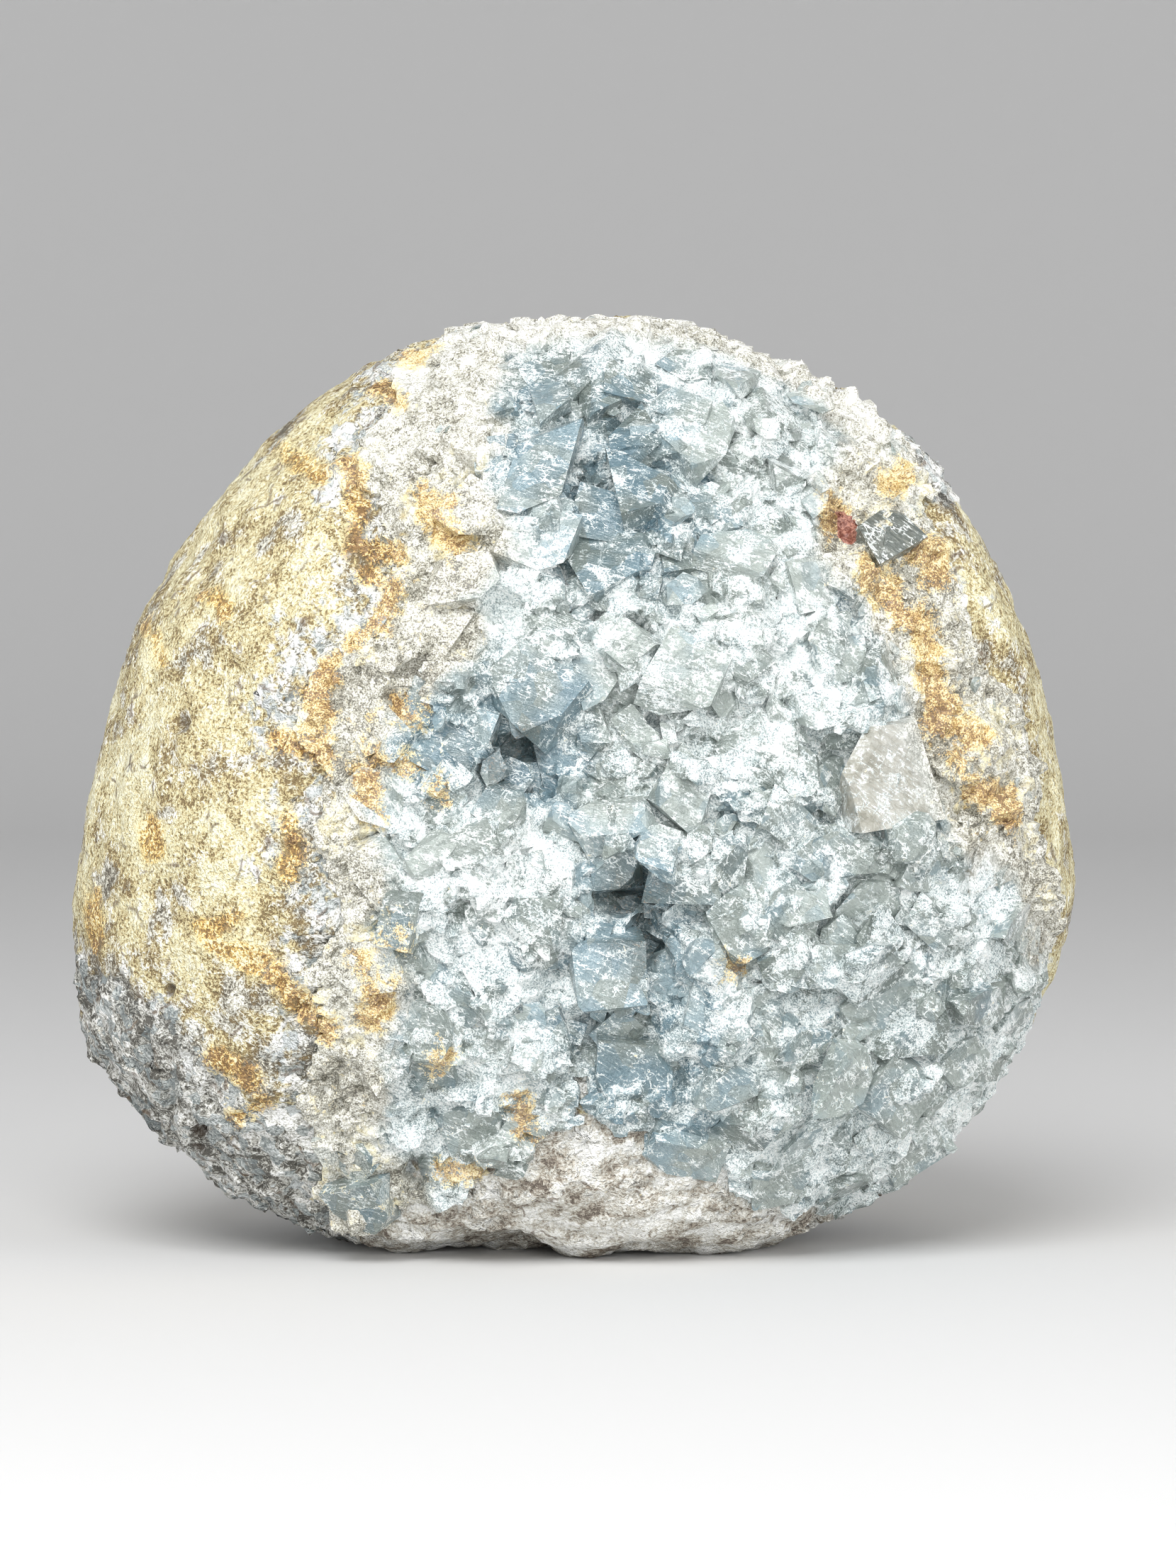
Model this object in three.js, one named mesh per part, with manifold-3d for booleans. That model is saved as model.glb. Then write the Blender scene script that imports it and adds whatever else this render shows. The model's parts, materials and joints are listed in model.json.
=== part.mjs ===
import * as THREE from 'three';
import { ConvexGeometry } from 'three/addons/geometries/ConvexGeometry.js';
import { ImprovedNoise } from 'three/addons/math/ImprovedNoise.js';
import { mergeVertices } from 'three/addons/utils/BufferGeometryUtils.js';
import Module from 'manifold-3d';

// A celestite geode: a rounded nodule of sandy host rock, broken and worn open at the front, where
// a crust of pale blue crystals fills the hollow up to the nodule's round surface.
// Millimetres, +Z up, crystal face towards -Y, origin on the ground under the middle of its box.

// The nodule: height of its centre, its depth to the front and to the back, and how boxy its
// sections are (2 is an ellipse, more is boxier).
const CENTRE_HEIGHT = 62.9;
const FRONT_DEPTH = 46;
const BACK_DEPTH = 57;
const SECTION_POWER = 2.2;
// Its outline from the front: radius about the centre every 15 degrees, from +X over the top.
const OUTLINE_RADII = [
  64.6, 63.0, 63.2, 64.3, 63.2, 63.3, 63.1, 62.0, 61.0, 60.3, 60.8, 62.2,
  64.4, 69.3, 74.0, 73.2, 71.0, 67.5, 65.5, 66.5, 69.7, 71.3, 70.4, 69.0,
];
// Its relief: broad lumps, and small ones on bare rock. Size is the width of one lump.
const BROAD_LUMPS = { height: 1.5, size: 26 };
const SMALL_LUMPS = { height: 1.2, size: 9 };
// The shallow hollow under the front edge, beside the foot.
const NOTCH = { x: -12, y: -27, z: -3, radii: [13, 15, 8] };

// The mouth, where the crystals come to the surface, seen along an axis that looks forward, a
// little right and up: its half-angle in degrees every 15 degrees about that axis.
const MOUTH_AXIS = new THREE.Vector3(0.28, -0.94, 0.2).normalize();
const MOUTH_ANGLES = [
  60, 53, 54, 66, 76, 80, 85, 84, 70, 63, 53, 58,
  60, 61, 63, 80, 97, 76, 68, 77, 92, 88, 82, 74,
];
const MOUTH_RAGGEDNESS = { share: 0.05, size: 12 };

// The crust of crystals: its depth in the middle of the mouth, the share of it that stands out as
// separate crystals, how far its solid part dips under the rock past the mouth's edge, and the
// gap to the rock.
const CRUST_DEPTH = 17;
const STANDING_SHARE = 0.36;
const DIP_PAST_EDGE = 4;
const GAP = 0.4;

// The crystal face's central valley, its two vugs and the swell left of them.
const VALLEY = { x: 4, bottom: 16, top: 112, halfWidth: 9, depth: 3.6 };
const VUGS = [
  { x: -4, z: 67.5, radius: 5.5, depth: 9 },
  { x: 9, z: 48, radius: 5, depth: 9 },
];
const SWELL = { x: -14, z: 52, radius: 15, height: 2.6 };
const BUMP_FALL = 1.6;

// One crystal's shape: corners of its section in shares of width and thickness, with how far skew
// moves each along the thickness, then the ridge of its roof and the roof's share of its length.
const SECTION_CORNERS = [
  { u: 0.5, v: 0, skewed: 0.3 }, { u: -0.2, v: 0.5, skewed: 0 },
  { u: -0.5, v: -0.1, skewed: -0.3 }, { u: 0.3, v: -0.5, skewed: 0 },
];
const RIDGE_ENDS = [{ u: -0.24, v: 0.1 }, { u: 0.2, v: 0.1 }];
const ROOF_SHARE = { least: 0.24, skewed: 0.2 };

// Crystals that stand out by their size: place on the face, width, thickness, length, tilt away
// from the surface's normal (degrees), the way it leans (degrees, 0 to +X, 90 up), roll (degrees).
const LANDMARKS = [
  { x: -5.5, z: 105, width: 9, thickness: 7, length: 17, tilt: 72, lean: 95, roll: 10 },
  { x: 13, z: 110, width: 15, thickness: 7, length: 10, tilt: 15, lean: 200, roll: 20 },
  { x: -12.4, z: 107, width: 7, thickness: 6, length: 12, tilt: 60, lean: 130, roll: 40 },
  { x: 11, z: 101, width: 8, thickness: 7, length: 12, tilt: 45, lean: 60, roll: 0 },
  { x: 42, z: 97, width: 9, thickness: 8, length: 11, tilt: 35, lean: 40, roll: 65 },
  { x: -4, z: 79, width: 14, thickness: 8, length: 15, tilt: 58, lean: 150, roll: 15 },
  { x: -15, z: 76, width: 10, thickness: 8, length: 12, tilt: 40, lean: 170, roll: 30 },
  { x: 0.4, z: 68, width: 7, thickness: 6, length: 15, tilt: 50, lean: 80, roll: 5 },
  { x: -11, z: 56, width: 13, thickness: 10, length: 13, tilt: 30, lean: 30, roll: 80 },
  { x: -19, z: 47, width: 13, thickness: 10, length: 13, tilt: 25, lean: 230, roll: 35 },
  { x: -6, z: 43, width: 11, thickness: 9, length: 12, tilt: 35, lean: 300, roll: 10 },
  { x: 42, z: 73, width: 15, thickness: 13, length: 12, tilt: 12, lean: 45, roll: 45 },
  { x: 17, z: 62, width: 15, thickness: 9, length: 14, tilt: 60, lean: 330, roll: 25 },
  { x: 41, z: 38.5, width: 15, thickness: 10, length: 13, tilt: 30, lean: 20, roll: 75 },
  { x: 7, z: 34, width: 12, thickness: 9, length: 14, tilt: 45, lean: 100, roll: 20 },
  { x: 19, z: 31, width: 13, thickness: 6, length: 12, tilt: 60, lean: 10, roll: 5 },
  { x: 27, z: 18.5, width: 12, thickness: 9, length: 11, tilt: 25, lean: 160, roll: 50 },
  { x: 10, z: 20, width: 17, thickness: 8, length: 12, tilt: 40, lean: 280, roll: 5 },
  { x: 24, z: 82, width: 12, thickness: 9, length: 13, tilt: 50, lean: 200, roll: 60 },
  { x: -26.5, z: 36, width: 9, thickness: 8, length: 10, tilt: 20, lean: 250, roll: 15 },
];
const LANDMARK_LIFT = 0.8;
const LANDMARK_SKEW = 0.5;
// The block-shaped crystal that hangs from the lower left edge of the crust.
const BLOCK_CRYSTAL = { x: -27.2, y: -27, z: 8.4, width: 8.5, thickness: 9, length: 10.4, turn: 12 };

// All other crystals: their spacing, their width from the middle of the mouth to its rim, and the
// ranges of random width, thickness and length (shares of that width), tilt, and depth of seat.
const SEED = 29;
const SPACING = 10;
const WIDTHS = { middle: 13, rim: 7 };
const OUTERMOST_SHARE = 0.97;
const WIDTH_RANGE = [0.8, 1.3];
const THICKNESS_RANGE = [0.55, 0.95];
const LENGTH_RANGE = [0.9, 1.4];
const TILT_RANGE = [0, 55];
const SEAT_RANGE = { proud: 0.8, sunk: 2.4, lessAtRim: 0.6 };

// Fineness of the round surfaces: how many times each edge of an icosahedron is split.
const ROCK_DETAIL = 10;
const CRUST_DETAIL = 7;
const MERGE_TOLERANCE = 1e-4;

const { degToRad, lerp, seededRandom } = THREE.MathUtils;
const wasm = await Module();
wasm.setup();
const noise = new ImprovedNoise();
const centre = new THREE.Vector3(0, (FRONT_DEPTH - BACK_DEPTH) / 2, CENTRE_HEIGHT);
const mouthRight = new THREE.Vector3(0, 0, 1).cross(MOUTH_AXIS).normalize();
const mouthUp = MOUTH_AXIS.clone().cross(mouthRight);

// Value at an angle (radians) of a ring of values spaced evenly over the full turn, by Catmull-Rom.
function aroundRing(values, angle) {
  const turns = angle / (2 * Math.PI);
  const place = (turns - Math.floor(turns)) * values.length;
  const first = Math.floor(place);
  const t = place - first;
  const [a, b, c, d] = [-1, 0, 1, 2].map((step) => values[(first + step + values.length) % values.length]);
  return b + 0.5 * t * (c - a + t * (2 * a - 5 * b + 4 * c - d + t * (3 * (b - c) + d - a)));
}

// Noise over the nodule, from -1 to 1, with lumps of the given size. The shift keeps the patterns
// of different sizes from lining up.
function surfaceNoise(direction, size) {
  const point = direction.clone().multiplyScalar(CENTRE_HEIGHT / size).addScalar(size);
  return noise.noise(point.x, point.y, point.z);
}

// Distance from the centre to the nodule's surface in a direction, with its broad lumps.
function noduleRadius(direction) {
  const outline = aroundRing(OUTLINE_RADII, Math.atan2(direction.z, direction.x));
  const depth = direction.y < 0 ? FRONT_DEPTH : BACK_DEPTH;
  const across = Math.hypot(direction.x, direction.z) / outline;
  const along = Math.abs(direction.y) / depth;
  const smooth = (across ** SECTION_POWER + along ** SECTION_POWER) ** (-1 / SECTION_POWER);
  return smooth + BROAD_LUMPS.height * surfaceNoise(direction, BROAD_LUMPS.size);
}

// 0 in the middle of the mouth, 1 on its edge, more outside it.
function mouthShare(direction) {
  const turn = Math.atan2(direction.dot(mouthUp), direction.dot(mouthRight));
  const ragged = 1 + MOUTH_RAGGEDNESS.share * surfaceNoise(direction, MOUTH_RAGGEDNESS.size);
  return direction.angleTo(MOUTH_AXIS) / (degToRad(aroundRing(MOUTH_ANGLES, turn)) * ragged);
}

// Depth of the bowl that the crystals fill, zero from the mouth's edge outwards.
function bowlDepth(direction) {
  return CRUST_DEPTH * Math.max(0, 1 - mouthShare(direction) ** 2);
}

function rockRadius(direction) {
  const small = SMALL_LUMPS.height * surfaceNoise(direction, SMALL_LUMPS.size);
  return noduleRadius(direction) + small - bowlDepth(direction);
}

// A smooth bump of height 1 that has all but faded out at the given distance.
function bump(distance, radius) {
  return Math.exp(-BUMP_FALL * (distance / radius) ** 2);
}

// Distance to the surface that the crystals' tips reach, with the valley, the vugs and the swell.
function crystalRadius(direction) {
  const radius = noduleRadius(direction);
  const x = direction.x * radius;
  const z = direction.z * radius + CENTRE_HEIGHT;
  const pastEnd = Math.max(VALLEY.bottom - z, z - VALLEY.top, 0);
  const valley = VALLEY.depth * bump(Math.hypot(x - VALLEY.x, pastEnd), VALLEY.halfWidth);
  const swell = SWELL.height * bump(Math.hypot(x - SWELL.x, z - SWELL.z), SWELL.radius);
  return VUGS.reduce(
    (left, vug) => left - vug.depth * bump(Math.hypot(x - vug.x, z - vug.z), vug.radius),
    radius + swell - valley,
  );
}

function solidOf(geometry) {
  geometry.deleteAttribute('normal');
  geometry.deleteAttribute('uv');
  const merged = mergeVertices(geometry, MERGE_TOLERANCE);
  const vertProperties = new Float32Array(merged.getAttribute('position').array);
  const triVerts = new Uint32Array(merged.getIndex().array);
  return new wasm.Manifold(new wasm.Mesh({ numProp: 3, vertProperties, triVerts }));
}

// A closed solid about the centre whose surface lies at the distance that the function gives.
function roundSolid(detail, distance) {
  const geometry = new THREE.IcosahedronGeometry(1, detail);
  const position = geometry.getAttribute('position');
  for (let i = 0; i < position.count; i++) {
    const direction = new THREE.Vector3().fromBufferAttribute(position, i).normalize();
    const point = direction.clone().multiplyScalar(distance(direction)).add(centre);
    position.setXYZ(i, point.x, point.y, point.z);
  }
  return solidOf(geometry);
}

function largestBody(solid) {
  return solid.decompose().reduce((best, body) => (body.volume() > best.volume() ? body : best));
}

// A blocky crystal along Z: a four-sided prism whose free end is a roof with a short ridge.
function crystalGeometry({ width, thickness, length }, skew) {
  const roof = length * (ROOF_SHARE.least + ROOF_SHARE.skewed * skew);
  const corner = (u, v, z) => new THREE.Vector3(u * width, v * thickness, z);
  const ring = (z) => SECTION_CORNERS.map(({ u, v, skewed }) => corner(u, v + skewed * skew, z));
  const ridge = RIDGE_ENDS.map(({ u, v }) => corner(u, v, length / 2));
  return new ConvexGeometry([...ring(-length / 2), ...ring(length / 2 - roof), ...ridge]);
}

// A crystal turned to its lean and seated so that its highest corner is at the tips' surface.
function seatedCrystal(size, direction, { tilt, lean, roll, lift, skew }) {
  const geometry = crystalGeometry(size, skew);
  const leanWay = new THREE.Vector3(Math.cos(degToRad(lean)), 0, Math.sin(degToRad(lean)));
  const tiltAxis = direction.clone().cross(leanWay).normalize();
  const growth = direction.clone().applyAxisAngle(tiltAxis, degToRad(tilt));
  geometry.rotateZ(degToRad(roll));
  geometry.applyQuaternion(new THREE.Quaternion().setFromUnitVectors(new THREE.Vector3(0, 0, 1), growth));
  const position = geometry.getAttribute('position');
  let highest = -Infinity;
  for (let i = 0; i < position.count; i++) {
    highest = Math.max(highest, new THREE.Vector3().fromBufferAttribute(position, i).dot(direction));
  }
  const seat = direction.clone().multiplyScalar(crystalRadius(direction) + lift - highest).add(centre);
  geometry.translate(seat.x, seat.y, seat.z);
  return solidOf(geometry);
}

// Direction from the centre to the point of the face that lies at x, z when seen from the front.
function faceDirection({ x, z }) {
  const up = z - CENTRE_HEIGHT;
  const share = Math.hypot(x, up) / aroundRing(OUTLINE_RADII, Math.atan2(up, x));
  const forward = FRONT_DEPTH * Math.max(0, 1 - share ** SECTION_POWER) ** (1 / SECTION_POWER);
  return new THREE.Vector3(x, -forward, up).normalize();
}

function landmarkCrystals() {
  const seat = { lift: LANDMARK_LIFT, skew: LANDMARK_SKEW };
  return LANDMARKS.map((landmark) => (
    seatedCrystal(landmark, faceDirection(landmark), { ...landmark, ...seat })
  ));
}

// Crystals over the rest of the mouth, on an even spiral about its axis, smaller towards its rim.
function otherCrystals() {
  const spiralCount = Math.round((4 * Math.PI * CENTRE_HEIGHT ** 2) / SPACING ** 2);
  const goldenTurn = Math.PI * (3 - Math.sqrt(5));
  const taken = LANDMARKS.map((landmark) => ({
    direction: faceDirection(landmark),
    reach: landmark.width / 2 / CENTRE_HEIGHT,
  }));
  const solids = [];
  seededRandom(SEED);
  for (let i = 0; i < spiralCount; i++) {
    const height = 1 - (2 * i + 1) / spiralCount;
    const away = Math.sqrt(1 - height * height);
    const direction = MOUTH_AXIS.clone().multiplyScalar(height)
      .addScaledVector(mouthRight, away * Math.cos(goldenTurn * i))
      .addScaledVector(mouthUp, away * Math.sin(goldenTurn * i));
    const [wide, thick, long, tilted, leaning, rolled, sunk] = Array.from(
      { length: 7 }, () => seededRandom(),
    );
    const share = mouthShare(direction);
    const onLandmark = taken.some((landmark) => landmark.direction.angleTo(direction) < landmark.reach);
    if (share > OUTERMOST_SHARE || onLandmark) continue;
    const width = lerp(WIDTHS.middle, WIDTHS.rim, share ** 2) * lerp(...WIDTH_RANGE, wide);
    const thickness = width * lerp(...THICKNESS_RANGE, thick);
    const length = width * lerp(...LENGTH_RANGE, long);
    solids.push(seatedCrystal({ width, thickness, length }, direction, {
      tilt: lerp(...TILT_RANGE, tilted),
      lean: 360 * leaning,
      roll: 360 * rolled,
      lift: SEAT_RANGE.proud - SEAT_RANGE.sunk * sunk * (1 - SEAT_RANGE.lessAtRim * share),
      skew: thick,
    }));
  }
  return solids;
}

function blockCrystal() {
  const { x, y, z, turn } = BLOCK_CRYSTAL;
  const block = crystalGeometry(BLOCK_CRYSTAL, 0);
  block.rotateX(Math.PI);
  block.rotateZ(degToRad(turn));
  block.translate(x, y, z);
  return solidOf(block);
}

// The rock: the whole nodule less the bowl at its mouth, the notch, and what is under the foot.
function rindSolid(ground) {
  const notch = new THREE.SphereGeometry(1, 12, 8);
  notch.scale(...NOTCH.radii);
  notch.translate(NOTCH.x, NOTCH.y, NOTCH.z);
  return largestBody(roundSolid(ROCK_DETAIL, rockRadius).subtract(solidOf(notch)).subtract(ground));
}

// The crust: a layer that follows the bowl, with every crystal grown into it, less the rock.
function crustSolid(ground) {
  const layer = roundSolid(CRUST_DETAIL, (direction) => {
    const dip = mouthShare(direction) < 1 ? 0 : DIP_PAST_EDGE;
    return crystalRadius(direction) - STANDING_SHARE * bowlDepth(direction) - dip;
  });
  const crystals = [...landmarkCrystals(), ...otherCrystals(), blockCrystal()];
  const grownTogether = crystals.reduce((whole, crystal) => whole.add(crystal), layer);
  const rockAndGap = roundSolid(ROCK_DETAIL, (direction) => rockRadius(direction) + GAP);
  return largestBody(grownTogether.subtract(rockAndGap).subtract(ground));
}

function namedMesh(name, solid, material) {
  const { vertProperties, triVerts } = solid.getMesh();
  const geometry = new THREE.BufferGeometry();
  geometry.setAttribute('position', new THREE.BufferAttribute(new Float32Array(vertProperties), 3));
  geometry.setIndex(new THREE.BufferAttribute(new Uint32Array(triVerts), 1));
  geometry.computeVertexNormals();
  const mesh = new THREE.Mesh(geometry, material);
  mesh.name = name;
  return mesh;
}

const rockMaterial = new THREE.MeshStandardMaterial({ color: 0xcdb98c, roughness: 0.9, metalness: 0 });
const crystalMaterial = new THREE.MeshStandardMaterial({ color: 0xb9cbd8, roughness: 0.25, metalness: 0 });

const groundBox = new THREE.BoxGeometry(4 * BACK_DEPTH, 4 * BACK_DEPTH, CENTRE_HEIGHT);
groundBox.translate(0, 0, -CENTRE_HEIGHT / 2);
const ground = solidOf(groundBox);

const geode = new THREE.Group();
geode.add(namedMesh('rind', rindSolid(ground), rockMaterial));
geode.add(namedMesh('celestite', crustSolid(ground), crystalMaterial));

// The origin goes under the middle of the geode's box.
const middle = new THREE.Box3().setFromObject(geode).getCenter(new THREE.Vector3());
for (const mesh of geode.children) mesh.geometry.translate(-middle.x, -middle.y, 0);

export default geode;
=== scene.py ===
import json
import math
import random

import bmesh
import bpy
from mathutils import Matrix, Vector
from mathutils.bvhtree import BVHTree

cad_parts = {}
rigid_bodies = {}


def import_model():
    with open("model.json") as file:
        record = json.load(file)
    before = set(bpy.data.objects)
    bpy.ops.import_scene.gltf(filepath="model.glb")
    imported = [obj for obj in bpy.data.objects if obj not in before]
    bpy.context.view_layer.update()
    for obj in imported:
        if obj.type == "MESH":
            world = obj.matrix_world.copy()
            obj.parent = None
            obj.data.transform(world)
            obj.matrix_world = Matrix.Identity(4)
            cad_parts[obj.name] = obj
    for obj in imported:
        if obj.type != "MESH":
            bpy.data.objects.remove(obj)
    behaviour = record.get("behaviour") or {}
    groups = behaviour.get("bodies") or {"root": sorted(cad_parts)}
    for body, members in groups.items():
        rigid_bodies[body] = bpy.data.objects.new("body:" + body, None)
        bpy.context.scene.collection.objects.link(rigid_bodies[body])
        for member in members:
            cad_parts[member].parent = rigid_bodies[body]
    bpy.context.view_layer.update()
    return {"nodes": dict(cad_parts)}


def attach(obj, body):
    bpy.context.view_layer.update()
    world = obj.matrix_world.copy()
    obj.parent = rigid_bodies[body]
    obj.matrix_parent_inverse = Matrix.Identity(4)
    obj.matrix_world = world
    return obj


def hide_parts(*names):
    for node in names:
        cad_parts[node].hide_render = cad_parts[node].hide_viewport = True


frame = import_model()

# ----------------------------------------------------------------------------------------------
# Rind. The nodule's own host rock, a sandy limy marl: straw-yellow, gritty and worn smooth on the
# left and the back, coarser and greyer towards the crystals, wrinkled along the foot. It is one
# piece of stone, rough only in its skin, so its solid is refined and given that skin.

# One millimetre in the frame's metres.
MM = 0.001
# Corners of a CAD solid that lie this close are one corner.
SAME_CORNER = 0.002 * MM
SKIN_VOXEL = 0.86 * MM
# Height and width (mm) of the skin's swellings, its dents, its grit, and the lumps of its coarse parts.
SWELLING = (1.5, 13.0)
DENTS = (1.6, 5.5)
GRIT = (0.5, 1.8)
COARSE_LUMPS = (1.1, 3.4)
# Flakes on the coarse parts: width (mm), slope, and the change of level between two of them (mm).
FLAKES = (3.0, 0.6, 0.7)
# The wrinkled band along the foot: how high it reaches, how softly it ends, and a wrinkle's height
# and spacing (mm). Along a wrinkle its noise changes at this share of its pace across.
WRINKLED_BELOW = 15.0
WRINKLED_EDGE = 6
WRINKLE = (1.5, 2.4)
WRINKLE_DRAWN_OUT = 0.22
# Width and strength (mm) of the noise that bends the wrinkles, and that frays the border of the
# underside's grey, of the coarse rim, and of what is drawn on the front.
WRINKLE_BENDS = (9.0, 8)
UNDERSIDE_FRAY = (9.0, 24)
RIM_FRAY = (8.0, 14)
FRONT_FRAY = (9.0, 45)
# Depths (y, mm) where the features of the front fade out and are full, the same for what is drawn
# on the front, and for the back.
FRONT = (12.0, -6.0)
DRAWN_FRONT = (7.0, -7.0)
BACK = (-8.0, 6.0)
# Heights (mm) where the back's grey underside fades out and is full.
UNDERSIDE = (22.0, 8.0)
# The coarse rim beside the crystals: distances from them where it fades out and is full, the places
# across (x) where it thins out to the right, and by how much (mm, and a share).
RIM = (12.0, 0.5)
RIM_THINS = (42.0, 54.0)
RIM_THINNED = 0.75
# The crust lies on the rock, and no skin rises where it is this close above (mm).
CRUST_OVERHEAD = 2.0
# The lowest point of the skin, just clear of the floor (mm).
ROCK_LIFT = 0.02
# The middle of the nodule (mm), which its layers and its worn face curve about.
NODULE_CENTRE = (0.0, 8.0, 62.0)
# Spacing of the layers (mm). Along a layer its noise changes at this share of its pace across.
LAYER_SPACING = 1.3
LAYER_DRAWN_OUT = 0.25
# Heights (mm) where the sand begins to grow greyer downwards, and where it is greyest.
GREYER_BELOW = (56.0, 28.0)
# Pits in the coarse rock: x, z, radius and depth (mm), and how many radii out one starts and is full.
PITS = [(-49.3, 17.0, 1.0, 2.4), (-49.6, 14.6, 0.8, 1.9), (-52.6, 36.2, 0.8, 1.5), (-50.5, 71.0, 1.2, 0.9)]
PIT_EDGE = (1.4, 0.4)
# Where the stone is coarse and ash grey, and where its foot is pale: outlines of x, z points on the
# front (mm). A border is how far one reaches past its outline, and how frayed it is there (mm).
GREY_ROCK = [
    [(-72, 38), (-60, 36), (-53, 31), (-48, 25), (-45, 20), (-38, 19), (-30, 15), (-30, -6), (-72, -6)],
    [(26, 130), (33, 114), (42, 106), (48, 102), (60, 104), (72, 130)],
]
GREY_BORDER = (5.0, 7.0)
PALE_FOOT = [[(-27, -6), (-26, 9), (-12, 15), (0, 19), (18, 17), (24, 8), (40, 6), (46, -6)]]
FOOT_BORDER = (3.0, 6.0)
# Veins and spots of rust: open lines of x, z points on the front, and their border (mm).
RUST = [
    [(-29, 104), (-28, 98), (-28, 94)], [(-27, 94), (-23, 93)], [(-26, 90), (-23, 88), (-25, 84), (-28, 82)],
    [(-18, 99), (-17, 96), (-15, 94)], [(-32, 77), (-34, 75), (-33, 71)], [(-38, 69), (-34, 68), (-32, 67)],
    [(-37, 60), (-36, 57), (-36, 54), (-37, 52)], [(-49, 45), (-46, 44), (-43, 46)], [(-46, 43), (-40, 41)],
    [(-38, 39), (-36, 36), (-32, 32)], [(-46, 28), (-43, 26), (-42, 24)], [(-40, 22), (-44, 20)],
    [(-22, 73), (-20, 72)], [(-25, 67), (-20, 66)], [(-17, 63), (-17, 62)], [(-27, 65), (-25, 60)],
    [(-23, 46), (-22, 44)], [(-26, 42), (-25, 41)], [(-25, 36), (-26, 33)], [(-17, 29), (-18, 27)],
    [(-7, 23), (-6, 19.5)], [(-17, 13.5), (-13, 13)], [(-22, 118), (-19, 119)],
    [(-25, 114), (-23, 113)], [(-37, 105), (-33, 103)], [(-47, 87), (-45, 86)], [(-55, 82), (-54, 79)],
    [(-55, 57), (-54, 54)], [(-63, 47), (-62, 42)], [(33, 99), (34, 96)], [(41, 102), (43, 103)],
    [(44, 94), (47, 93), (47, 90)], [(38, 91), (38, 89)], [(40, 88), (42, 85), (45, 83), (46, 80)],
    [(46, 77), (47, 74), (49, 73)], [(47, 71), (52, 69), (50, 67)], [(52, 62), (56, 61), (56, 59)],
    [(20, 40.8), (20.4, 40.2)],
]
RUST_BORDER = (3.6, 5.0)
# The rock's colours, each a place from 0, darkest, to 1, palest, and the colour there.
SAND_TONES = [
    (0.0, (0.22, 0.16, 0.08)), (0.15, (0.38, 0.30, 0.15)), (0.35, (0.55, 0.465, 0.26)),
    (0.55, (0.66, 0.59, 0.36)), (0.75, (0.76, 0.70, 0.45)), (1.0, (0.87, 0.84, 0.63)),
]
ASH_TONES = [
    (0.0, (0.12, 0.115, 0.10)), (0.25, (0.32, 0.315, 0.28)), (0.5, (0.56, 0.555, 0.51)),
    (0.75, (0.80, 0.80, 0.76)), (1.0, (0.97, 0.97, 0.95)),
]
FOOT_TONES = [
    (0.0, (0.17, 0.14, 0.115)), (0.25, (0.38, 0.335, 0.275)), (0.5, (0.60, 0.57, 0.50)),
    (0.75, (0.80, 0.79, 0.73)), (1.0, (0.96, 0.96, 0.93)),
]
RUST_TONES = [
    (0.0, (0.24, 0.13, 0.045)), (0.35, (0.50, 0.28, 0.075)), (0.65, (0.78, 0.55, 0.17)),
    (1.0, (0.95, 0.83, 0.50)),
]
BLUISH_GRAIN = (0.38, 0.45, 0.47)
CRACK_BROWN = (0.16, 0.11, 0.07)
# The painted shade in the pits and between the coarse lumps of the rock.
PIT_SHADE = (0.09, 0.065, 0.045)
# How deep the rock's finest relief is (mm), and the roughness of its grit and of its glinting grains.
ROCK_RELIEF = 0.8
DULL = 0.85
GLINTING = 0.3


class Field:
    """A value that varies over a surface. Arithmetic on it adds Math or Vector Math nodes."""

    def __init__(self, tree, socket):
        self.tree, self.socket = tree, socket
        self.is_vector = socket.type in ("VECTOR", "RGBA")

    def _work(self, operation, *values):
        vector = any(isinstance(v, Field) and v.is_vector for v in values)
        kind = "ShaderNodeVectorMath" if vector else "ShaderNodeMath"
        return self.tree.field(kind, {"operation": operation}, dict(enumerate(values)))

    def __add__(self, other):
        return self._work("ADD", self, other)

    def __radd__(self, other):
        return self._work("ADD", other, self)

    def __sub__(self, other):
        return self._work("SUBTRACT", self, other)

    def __rsub__(self, other):
        return self._work("SUBTRACT", other, self)

    def __mul__(self, other):
        if self.is_vector and isinstance(other, (int, float)):
            return self.scaled(other)
        return self._work("MULTIPLY", self, other)

    def scaled(self, factor):
        return self.tree.field("ShaderNodeVectorMath", {"operation": "SCALE"}, {0: self, "Scale": factor})

    def most(self, other):
        return self._work("MAXIMUM", self, other)

    def above(self, limit):
        return self._work("GREATER_THAN", self, limit)

    def unit(self):
        return self.tree.field("ShaderNodeVectorMath", {"operation": "NORMALIZE"}, {0: self})

    def size(self):
        return self.tree.field("ShaderNodeVectorMath", {"operation": "LENGTH"}, {0: self}, "Value")

    def dot(self, other):
        return self.tree.field(
            "ShaderNodeVectorMath", {"operation": "DOT_PRODUCT"}, {0: self, 1: other}, "Value")

    def cross(self, other):
        return self.tree.field("ShaderNodeVectorMath", {"operation": "CROSS_PRODUCT"}, {0: self, 1: other})

    def rise(self, start, end):
        """0 up to start, 1 from end on, smooth between; start may be the larger."""
        if start > end:
            return 1 - self.rise(end, start)
        return self.tree.field("ShaderNodeMapRange", {"interpolation_type": "SMOOTHSTEP"},
                               {"Value": self, "From Min": start, "From Max": end})

    def parts(self):
        split = self.tree.node("ShaderNodeSeparateXYZ", {}, {0: self})
        return [Field(self.tree, output) for output in split.outputs]


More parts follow.
